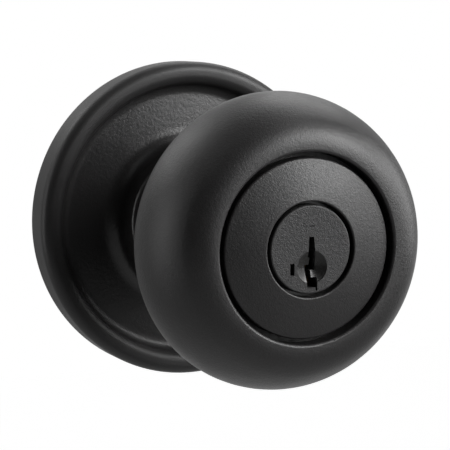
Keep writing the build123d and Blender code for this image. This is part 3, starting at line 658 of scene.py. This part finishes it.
def apply_tree(maker, group, finish, values):
    """Runs a geometry node tree on an object, in a finish and with its inputs set by their identifiers."""
    tree = bpy.data.node_groups[group]
    values = {**values, "Material": bpy.data.materials[finish]}
    modifier = maker.modifiers.new(group, "NODES")
    modifier.node_group = tree
    for item in tree.interface.items_tree:
        if item.in_out == "INPUT" and item.name in values:
            modifier[item.identifier] = values[item.name]


def made_piece(name, maker, body, slot, *nodes):
    """Turns a maker's result into a plain mesh that rides on a body and stands for CAD nodes."""
    bpy.context.view_layer.update()
    graph = bpy.context.evaluated_depsgraph_get()
    mesh = bpy.data.meshes.new_from_object(maker.evaluated_get(graph), depsgraph=graph)
    if not mesh.polygons:
        raise RuntimeError(f"{name} came out empty")
    bpy.data.objects.remove(maker)
    mesh.name = name
    piece = placed_object(name, mesh)
    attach(piece, body)
    if nodes:
        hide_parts(*nodes)


def outline_object(name, points):
    """An outline's points (radius, depth, edge) as a mesh of loose points."""
    mesh = bpy.data.meshes.new(name)
    mesh.from_pydata([(radius, depth, 0.0) for radius, depth, edge in points], [], [])
    attribute = mesh.attributes.new("edge", "FLOAT", "POINT")
    attribute.data.foreach_set("value", [edge for radius, depth, edge in points])
    return placed_object(name, mesh)


def turned_maker(name, points, segments, finish):
    """An outline that is turned about the knob's axis, in a finish."""
    maker = outline_object(name, points)
    apply_tree(maker, "Turned Piece", finish, {"Segments": segments})
    return maker


def inner_wall(points, wall):
    """The same line set off towards the axis's side by the wall's thickness, walked back."""
    inner = []
    for before, point, after in zip([points[0]] + points, points, points[1:] + [points[-1]]):
        along = Vector(after[:2]) - Vector(before[:2])
        across = Vector((-along.y, along.x)).normalized() * wall
        inner.append((point[0] + across.x, point[1] + across.y, 0.0))
    return inner[::-1]


# Operators

class DOORKNOB_OT_finishes(bpy.types.Operator):
    """Make the shared finishes"""

    bl_idname = "doorknob.finishes"
    bl_label = "Make Finishes"

    def execute(self, context):
        finish, shape = context.scene.door_knob_finish, context.scene.door_knob_shape
        coat_grain_group()
        turning_marks_group()
        handling_group()
        edge_rub_and_highlight_group()
        coat = (finish.coat, finish.coat_light)
        satin_coat("satin_coat", *coat, finish.coat_gloss, grain=3600.0, peel_share=0.6, depth=0.00018)
        satin_coat(
            "rose_coat", *coat, finish.coat_gloss + 0.06, grain=3600.0, peel_share=1.2, depth=0.00010,
            field_radius=shape.rose_radius - shape.bead_width,
        )
        plug_material(finish, shape)
        brass = {"bright": finish.brass, "level": 0.55, "roughness": 0.24, "pitch": 5200.0, "depth": 0.00003}
        turned_metal("turned_brass", **brass)
        # The cylinder body has painted shade on its front, where it shows round the plug
        turned_metal("nosed_brass", **brass, gap_shade_from=shape.cover_skirt)
        turned_metal("turned_steel", finish.steel, level=0.6, roughness=0.28, pitch=4200.0, depth=0.00003)
        tinted = opaque(finish.plating_tint)
        grained_surface("plated_sheet", finish.steel, tinted, roughness=0.26, grain=2600.0, depth=0.00003)
        for name, bright, level, *values in (
            ("drawn_wire", finish.wire, 0.7, 0.22, 7000.0, 0.00001),
            ("hard_pin", finish.hard_steel, 0.8, 0.25, 5200.0, 0.00001),
            # The cast core has painted shade on its front, where it shows in the groove
            ("cast_core", finish.zinc, 0.85, 0.42, 1500.0, 0.00008, 1.0, shape.core_gap_shade_start),
            ("moulded_bush", finish.nylon, 0.92, 0.40, 1200.0, 0.00004, 0.0),
        ):
            grained_surface(name, bright, opaque(bright, level), *values)
        turned_tree()
        pin_hole_tree()
        thread_tree()
        pair_tree()
        return {"FINISHED"}


class DOORKNOB_OT_rose(bpy.types.Operator):
    """Make the pressed rose with its beaded rim and hub"""

    bl_idname = "doorknob.rose"
    bl_label = "Rose"

    def execute(self, context):
        shape = context.scene.door_knob_shape
        bead_inner = shape.rose_radius - shape.bead_width
        corners = (
            (shape.rose_radius, 0.0, 0.0),
            (shape.rose_radius, shape.rose_height, shape.bead_round),
            (bead_inner, shape.rose_height, shape.bead_round),
            (bead_inner - shape.cove_width, shape.cove_depth, shape.cove_round),
            (shape.hub_radius + shape.hub_taper, shape.field_depth, shape.hub_round),
            (shape.hub_radius, shape.hub_height, shape.hub_lip_round),
            (shape.hub_bore, shape.hub_height, 0.0),
        )
        outer = rounded_line(corners, STEP)
        points = outer + inner_wall(outer, shape.rose_wall)
        maker = turned_maker("rose_outline", points, shape.segments, "rose_coat")
        made_piece("rose_pressing", maker, "trim", "black_coat", "rose")
        return {"FINISHED"}


def knob_line(shape, wall, step):
    """Outer line of the knob's skin, or its inner line when a wall is given."""
    turn, shoulder = shape.flare_turn, shape.shoulder_turn
    rounds = shape.flare_radius + shape.back_radius
    rise = shape.knob_radius - shape.neck_radius - rounds * (1.0 - math.cos(turn))
    flare_start = shape.knob_depth - rounds * math.sin(turn) - rise / math.tan(turn)
    moves = [
        (None, flare_start - shape.neck_back),
        (shape.flare_radius + wall, turn),
        (None, rise / math.sin(turn)),
        (shape.back_radius - wall, -turn),
        (shape.shoulder_radius - wall, -shoulder),
        (shape.nose_radius - wall, shoulder - math.pi / 2),
    ]
    if wall:
        moves += [
            (None, shape.mouth_round - wall),
            (SHARP, -math.pi / 2),
            (None, shape.mouth_depth - wall),
        ]
    else:
        moves += [
            (shape.mouth_round, -math.pi / 2, True),
            (None, shape.mouth_depth - shape.mouth_round),
        ]
    return walked_line((shape.neck_radius - wall, shape.neck_back), moves, step)


class DOORKNOB_OT_knob(bpy.types.Operator):
    """Make the knob's spun skin from neck to mouth"""

    bl_idname = "doorknob.knob"
    bl_label = "Knob"

    def execute(self, context):
        shape = context.scene.door_knob_shape
        outer = knob_line(shape, 0.0, WIDE_STEP)
        inner = knob_line(shape, shape.knob_wall, HIDDEN_STEP)
        maker = turned_maker("knob_outline", inner + outer[::-1], shape.segments, "satin_coat")
        values = {
            "Radius": shape.release_hole_radius,
            "Length": 4.0 * shape.knob_wall,
            "Place": (0.0, -shape.release_hole_depth, -shape.neck_radius + shape.knob_wall / 2),
        }
        apply_tree(maker, "Pin Hole", "satin_coat", values)
        made_piece("knob_skin", maker, "knob", "black_coat", "knob_shell")
        return {"FINISHED"}


BULGE = 0.6  # how far up from rim to crown the middle of the cover's dome lies


class DOORKNOB_OT_cover(bpy.types.Operator):
    """Make the domed cover round the plug"""

    bl_idname = "doorknob.cover"
    bl_label = "Cylinder Cover"

    def execute(self, context):
        shape = context.scene.door_knob_shape
        middle = (shape.cover_bore + shape.cover_radius) / 2
        bulge = shape.cover_rim + (shape.cover_crown - shape.cover_rim) * BULGE
        skirt = [(shape.cover_inner, depth, 0.0) for depth in (shape.cover_base, shape.cover_skirt)]
        dome = (
            (shape.cover_radius, shape.cover_skirt, 0.0),
            (shape.cover_radius, shape.cover_rim, shape.cover_edge_round, True),
            (middle, bulge, shape.cover_dome),
            (shape.cover_bore, shape.cover_crown, shape.cover_bore_round, True),
            (shape.cover_bore, shape.cover_base, 0.0),
        )
        points = (skirt + rounded_line(dome, STEP))[::-1]
        maker = turned_maker("cover_outline", points, shape.segments, "satin_coat")
        made_piece("cover_dome", maker, "knob", "black_coat", "cylinder_cover")
        return {"FINISHED"}


class DOORKNOB_OT_threads(bpy.types.Operator):
    """Wind the threads inside the mounting posts"""

    bl_idname = "doorknob.threads"
    bl_label = "Post Threads"

    def execute(self, context):
        shape = context.scene.door_knob_shape
        maker = outline_object("thread_outline", [(0.0, 0.0, 0.0)])
        reach = shape.post_back - shape.thread_inset
        values = {
            "Radius": shape.post_bore,
            "Pitch": shape.thread_pitch,
            "Length": reach,
            "Height": shape.thread_height,
            "Offset": shape.post_offset,
            "Back": reach,
        }
        apply_tree(maker, "Post Thread", "plated_sheet", values)
        made_piece("post_threads", maker, "trim", "plated_steel")
        return {"FINISHED"}


class DOORKNOB_OT_rivets(bpy.types.Operator):
    """Set the domed rivets that hold the spring cage"""

    bl_idname = "doorknob.rivets"
    bl_label = "Cage Rivets"

    def execute(self, context):
        shape = context.scene.door_knob_shape
        head, seat, tail = shape.rivet_head_radius, shape.rivet_front, -shape.rivet_rear
        dome, flat, crease = 0.45 * shape.rivet_head, 0.55 * head, 0.00005
        line = (
            (0.0, tail - shape.rivet_head, 0.0),
            (flat, tail - shape.rivet_head, dome, True),
            (head, tail - dome, dome / 2, True),
            (head, tail, crease),
            (shape.rivet_radius, tail, crease),
            (shape.rivet_radius, seat, crease),
            (head, seat, crease),
            (head, seat + dome, dome / 2, True),
            (flat, seat + shape.rivet_head, dome, True),
            (0.0, seat + shape.rivet_head, 0.0),
        )
        points = rounded_line(line, WIDE_STEP)[::-1]
        maker = turned_maker("rivet_outline", points, shape.rivet_segments, "plated_sheet")
        apply_tree(maker, "Upper and Lower Pair", "plated_sheet", {"Offset": shape.rivet_offset})
        made_piece("rivet_pair", maker, "trim", "plated_steel", "cage_rivets")
        return {"FINISHED"}


PLACES = range(1, 6)  # numbers of the followers and racks
BARS = ("pin_cap", "rack_carrier", "locking_bar")
# Pieces that keep their own mesh, by finish
DRESSED = {
    "plug_coat": ("plug",),
    "nosed_brass": ("cylinder_body",),
    "turned_brass": (*BARS, *(f"rack_{i}" for i in PLACES), *(f"follower_{i}" for i in PLACES)),
    "turned_steel": ("drive_sleeve", "thrust_washer", "half_round_spindle", "mounting_posts"),
    "plated_sheet": ("rose_liner", "spring_cage", "catch_bracket", "torque_blade"),
    "drawn_wire": ("return_spring", "sleeve_ring", "spring_washer", "plug_clip"),
    "hard_pin": ("drill_pins", "knob_catch"),
    "cast_core": ("knob_core",),
    "moulded_bush": ("neck_bush",),
}


class DOORKNOB_OT_works(bpy.types.Operator):
    """Finish the plug, the pinned works and the pieces behind the rose"""

    bl_idname = "doorknob.works"
    bl_label = "Works"

    def execute(self, context):
        for finish, names in DRESSED.items():
            for name in names:
                dress(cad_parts[name].data, finish)
        return {"FINISHED"}


# Coil springs: CAD node, piece, body that holds the high end, body that pushes the low end, and axis
SPRINGS = (
    ("catch_spring", "catch_coil", "knob", "catch", 2),
    ("carrier_spring", "carrier_coil", "plug", "carrier", 1),
    ("bar_springs", "bar_coils", "carrier", "bar", 0),
    *((f"follower_spring_{i}", f"follower_coil_{i}", "plug", f"follower_body_{i}", 2) for i in PLACES),
)
SEAM = 1e-7  # points of a coil nearer than this become one


class DOORKNOB_OT_springs(bpy.types.Operator):
    """Set the coil springs as merged, smooth copies of their CAD meshes, in drawn wire"""

    bl_idname = "doorknob.springs"
    bl_label = "Coil Springs"

    def execute(self, context):
        for node, name, holder, pushed, axis in SPRINGS:
            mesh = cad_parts[node].data.copy()
            mesh.name = name
            joined = bmesh.new()
            joined.from_mesh(mesh)
            bmesh.ops.remove_doubles(joined, verts=joined.verts, dist=SEAM)
            joined.to_mesh(mesh)
            joined.free()
            mesh.shade_smooth()
            dress(mesh, "drawn_wire")
            piece = placed_object(name, mesh)
            low, high = (Vector(corner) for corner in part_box(node))
            held_end = (low + high) / 2
            pushed_end = held_end.copy()
            held_end[axis] = high[axis]
            pushed_end[axis] = low[axis]
            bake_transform(piece)
            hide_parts(node)
        return {"FINISHED"}


WHITE = (1.0, 1.0, 1.0, 1.0)
RIGHT_SIDE = (-0.1, 0.3)  # from none to all of the light behind the knob, across the picture
KNOB = (0.0, -0.035, 0.0)  # what the lamps point at
# Lamps: name, place, width, height and power
LAMPS = (
    ("key_box", (0.42, -0.54, 0.30), 0.36, 0.36, 4.8),
    ("top_box", (-0.30, -0.20, 0.54), 0.40, 0.34, 0.15),
    ("back_box", (-0.30, 0.40, 0.46), 0.50, 0.40, 1.2),
    ("back_right_box", (0.32, 0.27, 0.50), 0.40, 0.40, 1.1),
    ("lid_box", (0.25, -0.22, 0.56), 0.30, 0.30, 0.5),
    ("right_box", (0.56, -0.14, 0.12), 0.40, 0.40, 2.0),
    ("left_box", (-0.58, 0.06, 0.06), 0.16, 0.50, 0.7),
    ("face_box", (0.43, -0.68, 0.04), 0.40, 0.50, 0.9),
)
FLOOR_HALF = 4.0  # half the floor's width
FLOOR_LIFT = 0.84  # brings the floor up to white for the camera


def soft_lamp(name, place, width, height, power):
    """A soft box that points at the knob."""
    data = bpy.data.lights.new(name, "AREA")
    data.shape = "RECTANGLE"
    data.size = width
    data.size_y = height
    data.energy = power
    lamp = placed_object(name, data)
    lamp.location = place
    lamp.rotation_euler = (Vector(KNOB) - Vector(place)).to_track_quat("-Z", "Y").to_euler()


def room_world():
    """White behind the knob to its right, a dim room in front of it, and plain white for the camera."""
    world = bpy.data.worlds.new("studio")
    world.use_nodes = True
    tree = world.node_tree
    tree.nodes.clear()
    across = add(tree, "ShaderNodeTexCoord").outputs["Generated"]
    parts = apart(tree, across)
    white = between(tree, parts[1], 0.66, 0.94, to_high=0.58)
    rear = times(tree, white, between(tree, parts[0], *RIGHT_SIDE))
    level = maths(tree, "ADD", between(tree, parts[1], -0.10, 0.40, to_low=0.02, to_high=0.42), rear)
    room = add(tree, "ShaderNodeBackground", {"Color": WHITE, "Strength": level}).outputs[0]
    plain = add(tree, "ShaderNodeBackground", {"Color": WHITE, "Strength": 1.0}).outputs[0]
    seen = add(tree, "ShaderNodeLightPath").outputs["Is Camera Ray"]
    mixed = add(tree, "ShaderNodeMixShader", {0: seen, 1: room, 2: plain}).outputs[0]
    add(tree, "ShaderNodeOutputWorld", {"Surface": mixed})
    return world


def view_camera(stage):
    """A camera that looks at a place on the knob's axis."""
    data = bpy.data.cameras.new("view")
    data.sensor_width = 36.0
    data.lens = stage.lens
    data.shift_x = stage.shift_x
    data.shift_y = stage.shift_y
    data.clip_start = 0.01
    camera = placed_object("view", data)
    back = Vector((math.sin(stage.azimuth), -math.cos(stage.azimuth), 0.0)) * math.cos(stage.elevation)
    back.z = math.sin(stage.elevation)
    target = Vector((0.0, -stage.target_depth, 0.0))
    turn = (-back).to_track_quat("-Z", "Y").to_matrix().to_4x4()
    tilt = Matrix.Rotation(stage.roll, 4, "Z")
    camera.matrix_world = Matrix.Translation(target + back * stage.distance) @ turn @ tilt
    return camera


def pale_floor(stage):
    """A wide floor, white for the camera and paler behind the knob to its right in what the coat mirrors."""
    sides = ((-1, -1), (1, -1), (1, 1), (-1, 1))
    corners = [(FLOOR_HALF * x, FLOOR_HALF * y, -stage.floor_drop) for x, y in sides]
    mesh = bpy.data.meshes.new("floor")
    mesh.from_pydata(corners, [], [(0, 1, 2, 3)])
    tree, shader, point = blank_material("pale_floor")
    speckle = place_group(tree, "Handling", {"Vector": point, "Scale": 6.0})["Mask"]
    pale = tint(tree, speckle, opaque(stage.floor), opaque(stage.floor, 0.98))
    rays = add(tree, "ShaderNodeLightPath").outputs
    mirrored = maths(tree, "MAXIMUM", rays["Is Glossy Ray"], rays["Is Transmission Ray"])
    parts = apart(tree, point)
    behind = between(tree, parts[1], 0.30, 0.75)
    rear = times(tree, behind, between(tree, parts[0], *RIGHT_SIDE))
    dimmed = times(tree, mirrored, between(tree, rear, 0.0, 1.0, to_low=0.2, to_high=0.6))
    seen = maths(tree, "MAXIMUM", rays["Is Camera Ray"], dimmed)
    lift = times(tree, seen, FLOOR_LIFT)
    lifted = {"Emission Color": WHITE, "Emission Strength": lift}
    fill(tree, shader, {"Base Color": pale, "Roughness": 0.8, **lifted})
    dress(mesh, "pale_floor")
    return placed_object("floor", mesh)


class DOORKNOB_OT_stage(bpy.types.Operator):
    """Set up the camera, lamps, floor and background"""

    bl_idname = "doorknob.stage"
    bl_label = "Stage"

    def execute(self, context):
        scene, stage = context.scene, context.scene.door_knob_stage
        scene.view_settings.view_transform = "Standard"
        scene.camera = view_camera(stage)
        scene.world = room_world()
        for lamp in LAMPS:
            soft_lamp(*lamp)
        floor = pale_floor(stage)
        return {"FINISHED"}


class DOORKNOB_PT_panel(bpy.types.Panel):
    """Lists the door knob's operators and settings"""

    bl_idname = "DOORKNOB_PT_panel"
    bl_label = "Door Knob"
    bl_space_type = "VIEW_3D"
    bl_region_type = "UI"
    bl_category = "Door Knob"

    def draw(self, context):
        for operator in OPERATORS:
            self.layout.operator(operator.bl_idname)
        for group in ("door_knob_shape", "door_knob_finish", "door_knob_stage"):
            settings = getattr(context.scene, group)
            box = self.layout.box()
            for name in settings.__annotations__:
                box.prop(settings, name)


OPERATORS = (
    DOORKNOB_OT_finishes,
    DOORKNOB_OT_rose,
    DOORKNOB_OT_knob,
    DOORKNOB_OT_cover,
    DOORKNOB_OT_threads,
    DOORKNOB_OT_rivets,
    DOORKNOB_OT_works,
    DOORKNOB_OT_springs,
    DOORKNOB_OT_stage,
)
CLASSES = (DoorKnobShape, DoorKnobFinish, DoorKnobStage, *OPERATORS, DOORKNOB_PT_panel)


def register():
    for kind in CLASSES:
        bpy.utils.register_class(kind)
    bpy.types.Scene.door_knob_shape = PointerProperty(type=DoorKnobShape)
    bpy.types.Scene.door_knob_finish = PointerProperty(type=DoorKnobFinish)
    bpy.types.Scene.door_knob_stage = PointerProperty(type=DoorKnobStage)


def unregister():
    del bpy.types.Scene.door_knob_stage
    del bpy.types.Scene.door_knob_finish
    del bpy.types.Scene.door_knob_shape
    for kind in reversed(CLASSES):
        bpy.utils.unregister_class(kind)


def main():
    register()
    bpy.ops.doorknob.finishes()
    bpy.ops.doorknob.rose()
    bpy.ops.doorknob.knob()
    bpy.ops.doorknob.cover()
    bpy.ops.doorknob.threads()
    bpy.ops.doorknob.rivets()
    bpy.ops.doorknob.works()
    bpy.ops.doorknob.springs()
    bpy.ops.doorknob.stage()


if __name__ == "__main__":
    main()
